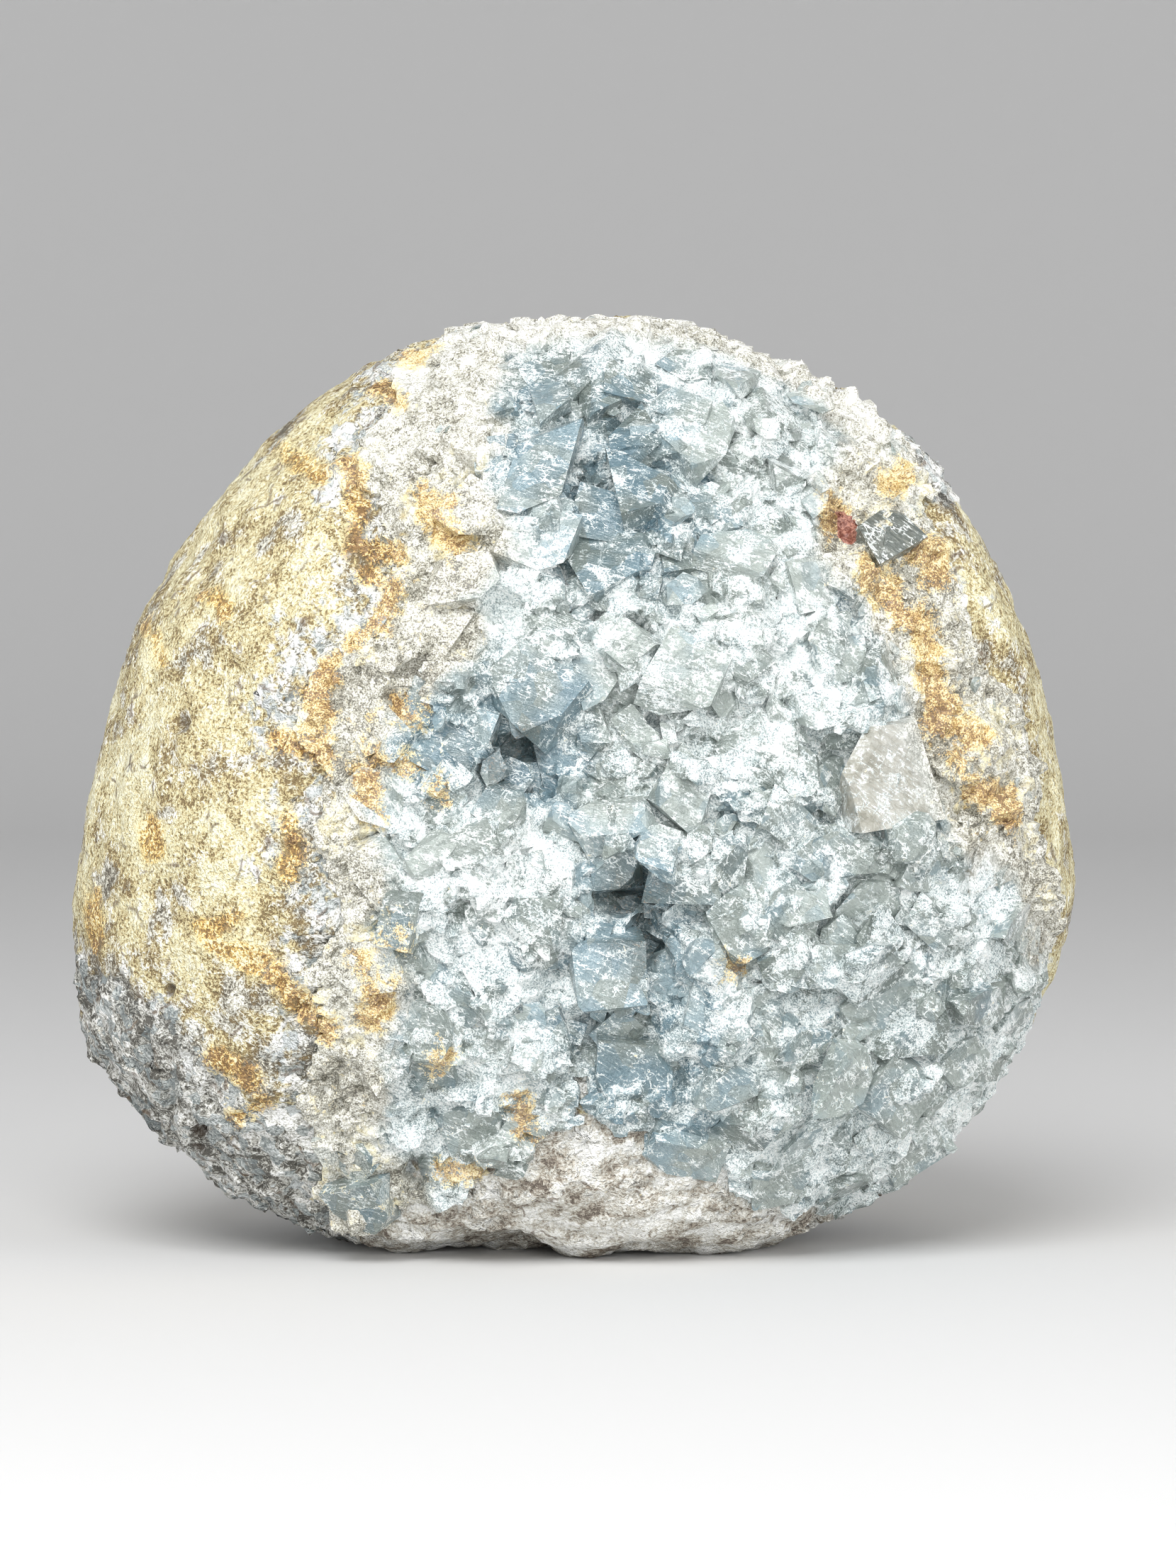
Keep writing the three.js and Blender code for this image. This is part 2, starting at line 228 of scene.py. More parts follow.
class Tree:
    """Adds nodes to a shader tree or a Geometry Nodes tree."""

    def __init__(self, tree):
        self.tree = tree

    def node(self, kind, settings, sockets):
        made = self.tree.nodes.new(kind)
        for name, value in settings.items():
            if name == "stops":
                self._set_stops(made.color_ramp, value)
            else:
                setattr(made, name, value)
        for key, value in sockets.items():
            socket = made.inputs[key] if isinstance(key, int) else self._open(made.inputs, key)
            self.feed(socket, value)
        return made

    @staticmethod
    def _open(sockets, key):
        return next(s for s in sockets if s.enabled and (key is None or key in (s.name, s.identifier)))

    @staticmethod
    def _set_stops(ramp, stops):
        while len(ramp.elements) < len(stops):
            ramp.elements.new(1.0)
        for element, (place, colour) in zip(ramp.elements, stops):
            element.position = place
            element.color = (*colour, 1.0)

    def feed(self, socket, value):
        if isinstance(value, Field):
            self.tree.links.new(value.socket, socket)
        elif isinstance(value, bpy.types.NodeSocket):
            self.tree.links.new(value, socket)
        elif socket.type == "RGBA" and len(value) == 3:
            socket.default_value = (*value, 1.0)
        elif socket.type == "VECTOR" and isinstance(value, (int, float)):
            socket.default_value = (value, value, value)
        else:
            socket.default_value = value

    def field(self, kind, settings, sockets, output=None):
        made = self.node(kind, settings, sockets)
        return Field(self, self._open(made.outputs, output))

    def point(self, x, y, z):
        return self.field("ShaderNodeCombineXYZ", {}, {0: x, 1: y, 2: z})

    def noise(self, place, size, detail=2.0, roughness=0.5, distortion=0.0):
        """Soft noise about 0, from about -0.5 to 0.5, whose lumps are size wide."""
        return self.field("ShaderNodeTexNoise", {}, {
            "Vector": place, "Scale": 1.0 / size, "Detail": detail,
            "Roughness": roughness, "Distortion": distortion}, "Fac") - 0.5

    def cells(self, place, size, feature):
        return self.field("ShaderNodeTexVoronoi", {"feature": feature}, {
            "Vector": place, "Scale": 1.0 / size}, "Distance")

    def blend(self, factor, first, second):
        """Colour: first where factor is 0, second where it is 1."""
        return self.field("ShaderNodeMix", {"data_type": "RGBA"},
                          {"Factor_Float": factor, "A_Color": first, "B_Color": second})

    def ramp(self, tone, stops):
        """Colour that runs through the stops, each a place from 0 to 1 and a colour, as tone rises."""
        return self.field("ShaderNodeValToRGB", {"stops": stops}, {"Fac": tone}, "Color")

    def pick(self, factor, first, second):
        """Number: first where factor is 0, second where it is 1."""
        return self.field("ShaderNodeMix", {"data_type": "FLOAT"},
                          {"Factor_Float": factor, "A_Float": first, "B_Float": second})


class Shape(Tree):
    """A Geometry Nodes tree with named inputs, run once on a mesh and turned into a plain mesh."""

    def __init__(self, name, inputs):
        super().__init__(bpy.data.node_groups.new(name, "GeometryNodeTree"))
        face = self.tree.interface
        face.new_socket("Geometry", in_out="INPUT", socket_type="NodeSocketGeometry")
        self.keys = {label: face.new_socket(label, in_out="INPUT", socket_type=kind).identifier
                     for label, (kind, _) in inputs.items()}
        face.new_socket("Geometry", in_out="OUTPUT", socket_type="NodeSocketGeometry")
        self.values = {label: value for label, (_, value) in inputs.items()}
        self.entry = self.tree.nodes.new("NodeGroupInput")
        self.exit = self.tree.nodes.new("NodeGroupOutput")

    def given(self, label):
        return Field(self, self.entry.outputs[label])

    def given_mesh(self, label):
        return self.field("GeometryNodeObjectInfo", {}, {"Object": self.given(label)}, "Geometry")

    def place(self):
        return self.field("GeometryNodeInputPosition", {}, {})

    def place_mm(self):
        return self.place() * (1 / MM)

    def away_from(self, target):
        """How far each place lies from a mesh (mm)."""
        return self.field("GeometryNodeProximity", {}, {"Target": target}, "Distance") * (1 / MM)

    def raised(self, height, lowest):
        """Each place moved out by height, but nowhere below lowest (both mm)."""
        outwards = self.field("GeometryNodeInputNormal", {}, {})
        x, y, z = (self.place_mm() * MM + outwards.scaled(height * MM)).parts()
        return self.point(x, y, z.most(lowest * MM))

    def stored(self, geometry, name, value, domain="POINT"):
        return self.field("GeometryNodeStoreNamedAttribute", {"data_type": "FLOAT", "domain": domain},
                          {"Geometry": geometry, "Name": name, "Value": value})

    def run_on(self, piece):
        modifier = piece.modifiers.new("Shape", "NODES")
        modifier.node_group = self.tree
        for label, key in self.keys.items():
            modifier[key] = self.values[label]

    def finish(self, geometry, material):
        realized = self.field("GeometryNodeRealizeInstances", {}, {"Geometry": geometry})
        dressed = self.field("GeometryNodeSetMaterial", {}, {"Geometry": realized, "Material": material})
        self.feed(self.exit.inputs[0], dressed)


def solid_copy(node, name):
    """A new object with a CAD node's mesh, its loose triangles joined up."""
    mesh = frame["nodes"][node].data.copy()
    mesh.name = name
    shell = bmesh.new()
    shell.from_mesh(mesh)
    bmesh.ops.remove_doubles(shell, verts=shell.verts, dist=SAME_CORNER)
    shell.to_mesh(mesh)
    shell.free()
    mesh.materials.clear()
    piece = bpy.data.objects.new(name, mesh)
    bpy.context.scene.collection.objects.link(piece)
    return piece


def remesh_evenly(piece, name, voxel):
    remesh = piece.modifiers.new(name, "REMESH")
    remesh.mode = "VOXEL"
    remesh.voxel_size = voxel


def settle(piece):
    """Applies every modifier, so that the piece is a plain mesh."""
    bpy.context.view_layer.update()
    seen = piece.evaluated_get(bpy.context.evaluated_depsgraph_get())
    mesh = bpy.data.meshes.new_from_object(seen)
    piece.modifiers.clear()
    piece.data = mesh
    return piece


guides = []


def drawn(name, outlines, closed):
    """A guide mesh of outlines of x, z points (mm), laid in the plane y = 0."""
    points, edges, faces = [], [], []
    for outline in outlines:
        first = len(points)
        points += [(x * MM, 0.0, z * MM) for x, z in outline]
        if closed:
            faces.append(tuple(range(first, len(points))))
        else:
            edges += [(i, i + 1) for i in range(first, len(points) - 1)]
    mesh = bpy.data.meshes.new(name)
    mesh.from_pydata(points, edges, faces)
    guide = bpy.data.objects.new(name, mesh)
    bpy.context.scene.collection.objects.link(guide)
    guides.append(guide)
    return guide


rust_guide = drawn("rust_guide", RUST, closed=False)
grey_guide = drawn("grey_guide", GREY_ROCK, closed=True)
foot_guide = drawn("foot_guide", PALE_FOOT, closed=True)


def near(shape, label, border, element="FACES"):
    """1 on a guide, on the front only, and 0 past its border."""
    reach, stray = border
    x, y, z = shape.place().parts()
    away = shape.field("GeometryNodeProximity", {"target_element": element}, {
        "Target": shape.given_mesh(label), "Source Position": shape.point(x, 0.0, z)}, "Distance") * (1 / MM)
    place = shape.place_mm()
    frayed = away + shape.noise(place, stray, detail=3.0) * stray
    depth = y * (1 / MM) + shape.noise(place, FRONT_FRAY[0], detail=3.0) * FRONT_FRAY[1]
    return frayed.rise(reach, 0.0) * depth.rise(*DRAWN_FRONT)


def rusty(shape):
    """1 on the veins and spots of rust, 0 away from them."""
    return near(shape, "Rust", RUST_BORDER, "EDGES")


def shards(tree, place, size):
    """Broken plates of one size: each place's height on its plate, and a random colour for the plate."""
    plate = tree.node("ShaderNodeTexVoronoi", {}, {"Vector": place, "Scale": 1 / size})
    hue = Field(tree, plate.outputs["Color"])
    away = place - Field(tree, plate.outputs["Position"])
    return (hue - (0.5, 0.5, 0.5)).dot(away), hue.parts()


def blank_material(name):
    """A new material without nodes, and the tree to fill it with."""
    material = bpy.data.materials.new(name)
    material.use_nodes = True
    material.node_tree.nodes.clear()
    return material, Tree(material.node_tree)


def painted(tree, names):
    """The values of attributes that a piece's mesh carries."""
    return [tree.field("ShaderNodeAttribute", {"attribute_name": name}, {}, "Fac") for name in names]


def rind_material():
    """Straw-yellow gritty rock, ash grey and glinting where it is coarse, veined with rust."""
    material, rock = blank_material("sandy_rock")
    place = rock.field("ShaderNodeTexCoord", {}, {}, "Object") * (1 / MM)
    grey, rust, hollow, foot, rim = painted(rock, ("grey", "rust", "hollow", "foot", "rim"))
    # Grain of each size (mm), from broad patches down to grit. In the sums below, the number beside
    # each grain is how much of it shows.
    patches = rock.noise(place, 7.5, roughness=0.6)
    mottle = rock.noise(place, 3.0, roughness=0.7)
    specks = rock.noise(place, 1.2, roughness=0.7, distortion=0.6)
    grit = rock.noise(place, 0.42, detail=1.0, roughness=0.8, distortion=0.6)
    plates, plate_hue = shards(rock, place, 1.5)
    x, y, z = place.parts()
    low = z.rise(*GREYER_BELOW)
    # Layers follow the nodule's round: they change fast outwards and slowly along it.
    outwards = place - NODULE_CENTRE
    drawn_out = rock.point(x * LAYER_DRAWN_OUT, y * LAYER_DRAWN_OUT, outwards.size() + mottle * 3.0)
    layers = rock.noise(drawn_out, LAYER_SPACING, roughness=0.6)
    cracks = rock.cells(place + patches * 9.0, 11.0, "DISTANCE_TO_EDGE").rise(0.035, 0.005)
    cracks = cracks * mottle.rise(-0.02, 0.12)

    tone = patches * 1.9 + mottle * 1.3 + specks * 1.1 + grit * 2.5 - low * 0.12 + 0.53
    greyed = (mottle * 0.8 - patches * 1.2 + grit * 0.5 + low * 0.16).rise(0.05, 0.25)
    sand = rock.blend(greyed * 0.8, rock.ramp(tone, SAND_TONES), rock.ramp(tone + 0.05, ASH_TONES))
    coarse = tone + (plate_hue[0] - 0.5) * 0.5 + layers * 1.7 + rim * 0.2 - 0.04
    bluish = plate_hue[2].rise(0.6, 0.75)
    ash = rock.blend(bluish * 0.5, rock.ramp(coarse, ASH_TONES), BLUISH_GRAIN)
    ashen = (grey.most(rim * 0.6) + mottle * 1.2 + specks * 0.9 + patches * 0.9).rise(0.3, 0.6)
    base = rock.blend(ashen, sand, ash)
    bedded = patches * 1.2 + mottle * 0.9 + specks * 0.8 + grit * 1.5 + layers * 2.4 + 0.62
    pale = (foot + mottle * 0.8 + specks * 0.8).rise(0.3, 0.6)
    base = rock.blend(pale, base, rock.ramp(bedded, FOOT_TONES))
    base = rock.blend(cracks * 0.75, base, CRACK_BROWN)
    stain = (rust + mottle * 1.5 + specks * 1.5 + grit * 1.2).rise(0.45, 0.8)
    base = rock.blend(stain * 0.85, base, rock.ramp(tone * 1.4 - rust * 0.2 + specks - 0.12, RUST_TONES))
    # Painted shade: the pits and the hollows between the coarse lumps darkened as shade.
    base = rock.blend(hollow.rise(0.2, 0.8) * 0.75, base, PIT_SHADE)

    height = mottle * 0.5 + specks * 0.7 + grit * 0.6 + (plates * 1.2 + layers) * ashen
    bump = rock.field("ShaderNodeBump", {}, {
        "Strength": 1.0, "Distance": ROCK_RELIEF * MM, "Height": height})
    glint = ashen * plate_hue[1].rise(0.6, 0.8)
    surface = rock.node("ShaderNodeBsdfPrincipled", {}, {
        "Base Color": base, "Roughness": rock.pick(glint, DULL, GLINTING), "Specular IOR Level": 0.4,
        "Normal": bump})
    rock.node("ShaderNodeOutputMaterial", {}, {"Surface": surface.outputs[0]})
    return material


def rock_skin(shape):
    """The heights of the rock's skin (mm), and the marks on it that its material reads."""
    place = shape.place_mm()
    x, y, z = place.parts()
    crystals = shape.given_mesh("Crystals")
    front = y.rise(*FRONT)
    low = z + shape.noise(place, UNDERSIDE_FRAY[0], detail=3.0) * UNDERSIDE_FRAY[1]
    under = low.rise(*UNDERSIDE) * y.rise(*BACK)
    grey = near(shape, "Grey rock", GREY_BORDER).most(under)
    foot = near(shape, "Pale foot", FOOT_BORDER)
    to_crystals = shape.away_from(crystals) + shape.noise(place, RIM_FRAY[0], detail=3.0) * RIM_FRAY[1]
    rim = to_crystals.rise(*RIM) * front * (1 - x.rise(*RIM_THINS) * RIM_THINNED)

    swelling = shape.noise(place, SWELLING[1], detail=3.0) * shape.given("Swelling")
    grit = shape.noise(place, GRIT[1], detail=4.0, roughness=0.7) * shape.given("Grit") * 2 * (1 + grey)
    dents = shape.noise(place, DENTS[1]) * DENTS[0]
    lumps = shape.cells(place + shape.noise(place, 3.0) * 1.5, COARSE_LUMPS[1], "SMOOTH_F1")
    flake, flake_hue = shards(shape, place + shape.noise(place, 2.5) * 1.2, FLAKES[0])
    broken = (0.45 - lumps) * shape.given("Lumps") + flake * FLAKES[1] + (flake_hue[0] - 0.5) * FLAKES[2]
    wrinkled = foot.most(grey * z.rise(WRINKLED_BELOW, WRINKLED_BELOW - WRINKLED_EDGE) * front)
    bent = z + shape.noise(place, WRINKLE_BENDS[0], detail=3.0) * WRINKLE_BENDS[1]
    drawn_out = shape.point(x * WRINKLE_DRAWN_OUT, y * WRINKLE_DRAWN_OUT, bent)
    wrinkles = shape.noise(drawn_out, WRINKLE[1], detail=3.0) * shape.given("Wrinkles") * wrinkled * 3
    pitted = None
    for pit_x, pit_z, radius, depth in PITS:
        offset = place - shape.point(pit_x, y, pit_z)
        dip = offset.size().rise(*(radius * share for share in PIT_EDGE)) * front * depth
        pitted = dip if pitted is None else pitted.most(dip)
    under_crust = shape.field("GeometryNodeRaycast", {}, {
        "Target Geometry": crystals, "Ray Direction": shape.field("GeometryNodeInputNormal", {}, {}),
        "Ray Length": CRUST_OVERHEAD * MM}, "Is Hit")
    height = swelling + grit + dents + broken * grey.most(rim) + wrinkles
    marks = {
        "grey": grey, "foot": foot, "rim": rim, "rust": rusty(shape),
        # Where the pits and the hollows between the coarse lumps lie, to be painted dark as shade.
        "hollow": (pitted * 0.8).most((lumps - 0.35) * grey),
    }
    return height * (1 - under_crust) - pitted, marks


def build_rind():
    rind = solid_copy("rind", "rind_rock")
    smooth = rind.modifiers.new("Smooth facets", "SUBSURF")
    smooth.levels = smooth.render_levels = 2
    remesh_evenly(rind, "Even skin", SKIN_VOXEL)
    shape = Shape("rock_skin", {
        "Swelling": ("NodeSocketFloat", SWELLING[0]),
        "Grit": ("NodeSocketFloat", GRIT[0]),
        "Lumps": ("NodeSocketFloat", COARSE_LUMPS[0]),
        "Wrinkles": ("NodeSocketFloat", WRINKLE[0]),
        "Rust": ("NodeSocketObject", rust_guide),
        "Grey rock": ("NodeSocketObject", grey_guide),
        "Pale foot": ("NodeSocketObject", foot_guide),
        "Crystals": ("NodeSocketObject", frame["nodes"]["celestite"]),
    })
    height, marks = rock_skin(shape)
    geometry = shape.entry.outputs[0]
    for name, mark in marks.items():
        geometry = shape.stored(geometry, name, mark)
    geometry = shape.field("GeometryNodeSetPosition", {}, {
        "Geometry": geometry, "Position": shape.raised(height, ROCK_LIFT)})
    geometry = shape.field("GeometryNodeSetShadeSmooth", {}, {"Geometry": geometry, "Shade Smooth": True})
    shape.finish(geometry, rind_material())
    shape.run_on(rind)
    return settle(rind)


rind = build_rind()
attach(rind, "root")
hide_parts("rind")

# ----------------------------------------------------------------------------------------------
# Celestite. One crust of crystals grown together, fast to the rock under it: glassy, pale grey-blue
# blocks and splinters, their corners bruised white, finer and more clouded towards the rock. The
# solid's large crystals carry smaller ones of three sizes, all joined into one body.

# Each size of smaller crystals: least distance apart (mm), the range of widths (mm), and the most
# that they lean from the surface (degrees).
CRYSTAL_SIZES = {
    "blocks": {"apart": 4.8, "widths": (5.5, 10.5), "lean": 12, "seed": 3},
    "splinters": {"apart": 2.4, "widths": (2.0, 4.4), "lean": 18, "seed": 7},
    "grains": {"apart": 1.8, "widths": (1.0, 2.2), "lean": 35, "seed": 11},
}
# How densely they stand, against one in each square of that distance.
CROWDING = 0.9
# Crystals stand up from the nodule's worn round by this share, and from their own facet by the rest.
WORN_LEVEL = 0.7
# The small crystals' shapes: how many there are, their cuts, and their depth and thickness by width.
CRYSTAL_FORMS = 16
SMALL_CUTS = 5
SMALL_DEPTH = (0.55, 0.95)
SMALL_THICKNESS = (0.28, 0.45)
FORM_SEED = 5
# A big frosted crystal has this many cuts, and a clear one so many fewer.
FROSTED_CUTS = 6
FEWER_IF_CLEAR = 4
# How a crystal is broken: how far out of place each corner is, by its size; the least and the most
# of each part of a cut's direction; how far out the cut lies, by the crystal's reach that way; and
# how much the looks of its facets differ.
CORNER_JOG = 0.13
CUT_DIRECTION = (0.35, 1.0)
CUT_REACH = (0.5, 0.8)
FACET_SPREAD = 0.08
# How far the middle of a crystal lies under the surface that it grows on, of its thickness.
BLOCK_SUNK = 0.36
# Big crystals turn from the nodule's round towards the front by this much.
FRONT_TURN = -0.4
# Smaller crystals keep this far from big ones, and grow where the crust is thicker than this (mm).
BIG_CLEARANCE = 1.2
CRUST_SKIN = 1.0
# Where the crust is thinner than this it is rooted in the rock, from where that starts to where it
# is full, and how far the roots swell into the rock that they grow from (mm).
ROOTED = (1.4, 0.5)
ROOT_SWELL = 0.7
# The lowest point of the crust, just clear of the floor (mm).
CRUST_LIFT = 0.05
# A body with fewer corners than this stands loose: the whole crust has over 80,000.
CRUMB_POINTS = 1000
CRUST_VOXEL = 0.8 * MM
# Open hollows between the crystals: x, z and radius (mm), how far they go in (mm), the width and
# strength (mm) of the noise that frays them, and the share of the radius where one is full.
VUGS = [
    (-9.0, 66.0, 3.4), (-5.5, 68.5, 3.0), (6.0, 49.5, 3.6), (9.5, 46.5, 3.2), (9.5, 42.5, 2.2),
    (8.3, 83.0, 1.8), (-21.0, 12.5, 2.0),
]
VUG_DEPTH = 3.0
VUG_FRAY = (4.0, 5)
VUG_FULL = 0.75
# Cleavage steps in the crushed bed between the crystals: width, slope and change of level (mm).
STEPS = [(5.5, 0.2, 0.35), (2.4, 0.35, 0.3)]
# Facets of the bed, each with its own clarity and tone: their width (mm), and the clearest of them.
BED_FACETS = 3.2
BED_CLARITY = 0.5
# Where the crust is fine grained and clouded: the rims on the left and the right, and the band along
# the crest. Outlines of x, z points on the front (mm).
FINE_RIM = [
    [(-72, -6), (-24, 0), (-22, 8), (-27, 17), (-27, 26), (-24, 36), (-28, 46), (-26, 54), (-28, 62),
     (-26, 70), (-20, 77), (-14, 83), (-16, 89), (-10, 95), (-14, 101), (-11, 107), (-16, 111),
     (-12, 117), (-18, 122), (-18, 130), (-72, 130)],
    [(36, 130), (43, 110), (35, 102), (34, 94), (40, 86), (45, 78), (47, 66), (51, 57), (60, 53), (63, 42),
     (80, 42), (80, 130)],
    [(-16, 120.5), (0, 124), (14, 124), (24, 120.5), (34, 114), (43, 105), (60, 110), (40, 130), (0, 140),
     (-20, 130)],
]
FINE_BORDER = (6.0, 7.0)
# Big single crystals on the front: x, z, width, height, thickness, turn (degrees), clarity and tone,
# where clarity runs from 0, frosted, to 1, clear, and tone from 0, dark grey-blue, to 1, pale. A tone
# under 0 is smoky, and one of 1.5 is tan.
BIG_CRYSTALS = [
    (-4.5, 104, 7, 13, 4, -12, 0.95, 0.5), (-9.8, 105.5, 6.5, 6, 4, 15, 0.9, 0.05),
    (3.5, 114, 7, 6, 4, 30, 0.8, 0.4), (4.5, 97, 9, 7, 4, -20, 0.7, 0.25),
    (13.5, 93, 5.5, 6.5, 4, 5, 0.95, 0.1), (16.5, 107.5, 10, 8.5, 4, 25, 0.35, 0.9),
    (17.5, 98.5, 9, 4, 4, -10, 0.8, 0.4), (5.0, 91, 5, 3.5, 3, 35, 0.9, 0.2),
    (-5.0, 75, 11, 9, 5, -35, 0.9, 0.25), (-17.5, 69.5, 11, 8.5, 5, -30, 0.95, 0.1),
    (-1.8, 66, 5.5, 7, 4, 10, 0.95, 0.15), (3.0, 58, 8, 7, 4, 50, 0.9, 0.2),
    (-12.5, 56, 6, 5, 3, 40, 0.9, 0.35), (-22, 46, 4.5, 8, 4, -15, 0.95, 0.15),
    (-12, 46, 3.5, 6, 3, 10, 0.95, 0.1), (-3.5, 32.5, 4.5, 3.5, 3, 20, 0.9, 0.35),
    (8.0, 26.5, 9, 9, 5, 0, 0.9, 0.35), (19.5, 24, 9, 5.5, 4, -15, 0.75, 0.65),
    (13, 17.5, 7.5, 4.5, 3, -8, 0.95, 0.2), (6.5, 37, 5, 5, 3, 20, 0.9, 0.3),
    (26.5, 11, 8, 6.5, 4, 12, 0.85, 0.6), (40, 33.5, 12, 9.5, 4, 30, 0.75, 0.7),
    (40.5, 64, 13, 13, 5, 10, 0.6, 1.5), (54, 34.5, 5.5, 5, 3, 15, 0.95, 0.1),
    (41, 95, 7.5, 6.5, 4, 25, 1.1, -0.4), (57, 50, 6, 6, 3, 20, 0.8, 0.3),
    (15, 62, 9, 7, 4, -40, 0.7, 0.5), (-27.5, 7.3, 7.5, 8, 5, 6, 0.95, 0.15),
    (-5, 95, 9, 8, 4, -25, 0.45, 0.85), (54, 54, 9, 8, 4, 15, 0.5, 1.5),
    (34, 79, 7, 6, 3, 10, 0.8, 0.6), (22, 79.5, 6, 5, 3, 40, 0.85, 0.2),
    (41.5, 22.5, 11, 9, 4, -30, 0.9, 0.5), (50.5, 36, 6, 5, 3, -10, 0.9, 0.2),
    (45, 14, 8, 6, 4, 35, 0.85, 0.4), (28, 46.5, 7, 6, 3, -20, 0.85, 0.3),
    (21.8, 44.5, 6.5, 6, 3, 25, 0.9, 0.35), (5, 53, 7, 6, 3, 12, 0.9, 0.15),
    (-12.5, 112, 8, 5, 3, 20, 0.45, 0.8), (-12.5, 98.5, 7, 8, 3, -30, 0.5, 0.7),
    (-14, 90, 9, 6, 3, 10, 0.4, 0.9), (-18, 83, 8, 7, 3, 50, 0.5, 0.8),
    (-25, 71, 8, 6, 3, 25, 0.4, 0.85), (-26, 62, 9, 6, 3, -15, 0.35, 0.9),
    (-25, 52, 7, 9, 3, 40, 0.5, 0.8), (-26, 40, 9, 6, 3, 5, 0.4, 0.85),
    (-26, 31, 7, 7, 3, -30, 0.5, 0.6), (-22.5, 42.5, 6, 6, 3, 20, 0.97, 0.25),
    (-5.5, 25, 5, 5, 3, -30, 0.95, 0.15), (-28.5, 14, 6, 5, 3, 30, 0.97, 0.25),
    (-13.5, 19, 8, 6, 3, 15, 0.9, 0.35), (-18, 27, 5.5, 5, 3, -10, 0.95, 0.2),
    (-15, 34, 6.5, 5, 3, 40, 0.9, 0.3), (51, 26, 6.5, 6, 3, -35, 0.85, 0.5),
    (33, 40, 8, 6, 3, 5, 0.4, 0.8), (14, 75, 7, 5, 3, -25, 0.6, 0.5),
    (14, 117, 6, 5, 3, 0, 0.85, 0.15),
]
# Where the crystals are crushed white, and where they are clear and bluest.
CRUSHED = [
    [(7, 89), (17, 93.5), (29, 87.5), (34, 76.5), (28, 69.5), (15, 66), (6, 72.5), (3.5, 81)],
    [(-14.5, 118), (-4, 122), (12, 125), (24, 121), (22, 117), (7, 117.5), (-6, 115), (-13, 112.5)],
    [(-14.5, 93.5), (-6, 87.5), (-4, 81), (-12, 75.5), (-18.5, 79), (-18.5, 87.5)],
    [(-20.5, 56.5), (-12.5, 61), (0.5, 56.5), (2.5, 49), (-4, 43), (-14.5, 46)],
    [(22.5, 112.5), (34, 108.5), (35.5, 95.5), (26, 93.5), (20.5, 102)],
    [(40, 10), (50, 12), (60, 22), (66, 36), (67, 50), (61, 49), (57, 36), (50, 24)],
]
CLEAREST = [
    [(-10, 117), (2.5, 116), (12, 112.5), (13, 104), (17.5, 93.5), (13, 87), (2.5, 91.5), (-6, 100),
     (-12, 104)],
    [(-23, 72.5), (-12, 79), (0.5, 76.5), (2.5, 66), (-1.5, 61), (-10, 62), (-18.5, 64)],
    [(2.5, 55.5), (11, 53.5), (13, 43), (17.5, 30), (17.5, 17.5), (7, 15), (0.5, 21.5), (2.5, 35.5),
     (0.5, 46)],
]
ZONE_BORDER = (4.0, 6.0)
# A chip of red-brown rock caught between the crystals.
CHIPS = [[(34.4, 94.8), (35.8, 94.2), (36.2, 96.6), (34.4, 97.8)]]
CHIP_BORDER = (0.9, 0.6)
# The seams between crystals, where the crystal is painted paler as light against the shade that falls in
# them: how near the crust's own solid they lie, faintest and full (mm).
SEAM_LIGHT_REACH = (0.9, 0.1)
# The clouded, pale crest begins and is full at these heights (mm).
CREST = (98.0, 116.0)
# Colours of crushed crystal and of the clouded rim, each a place from 0 to 1 and the colour there.
CRUSHED_TONES = [
    (0.0, (0.22, 0.28, 0.29)), (0.3, (0.50, 0.57, 0.58)), (0.6, (0.74, 0.80, 0.79)),
    (1.0, (0.95, 0.97, 0.96)),
]
RIM_TONES = [
    (0.0, (0.14, 0.13, 0.105)), (0.25, (0.37, 0.35, 0.28)), (0.5, (0.60, 0.59, 0.52)),
    (0.75, (0.82, 0.815, 0.76)), (1.0, (0.97, 0.97, 0.94)),
]
# Pairs of a darker and a paler colour: clear crystal that is greener and that is bluer, the tan and
# the smoky crystals, the painted shade on the floor of the hollows, flecked brown, and the chip.
GREENISH = ((0.28, 0.335, 0.305), (0.70, 0.78, 0.73))
BLUISH = ((0.20, 0.335, 0.405), (0.54, 0.72, 0.79))
TAN = ((0.56, 0.54, 0.44), (0.93, 0.92, 0.84))
SMOKY = ((0.18, 0.19, 0.155), (0.44, 0.45, 0.38))
VUG_SHADE_FLOOR = ((0.07, 0.115, 0.12), (0.28, 0.19, 0.11))
CHIP_RED = ((0.20, 0.06, 0.04), (0.55, 0.27, 0.20))
CRYSTAL_IOR = 1.62
CRYSTAL_TRANSMISSION = 0.5
# The colour that the inside of a crystal lets through, and how strongly it takes away the rest
# (per metre).
CRYSTAL_ABSORPTION = (0.52, 0.71, 0.80)
CRYSTAL_DENSITY = 50.0
# How deep the crystals' finest relief is (mm), and the roughness of facets and of frosted skin.
CRYSTAL_RELIEF = 0.45
# The direction in the rock that streaks on the crystals' facets lie across, and how unlike one
# another two facets are that face nearly the same way.
STREAK_DIRECTION = (0.35, 0.5, 0.8)
FACETS_DIFFER = 57.0
FACET_ROUGHNESS = (0.1, 0.35)
FROST_ROUGHNESS = (0.3, 0.6)


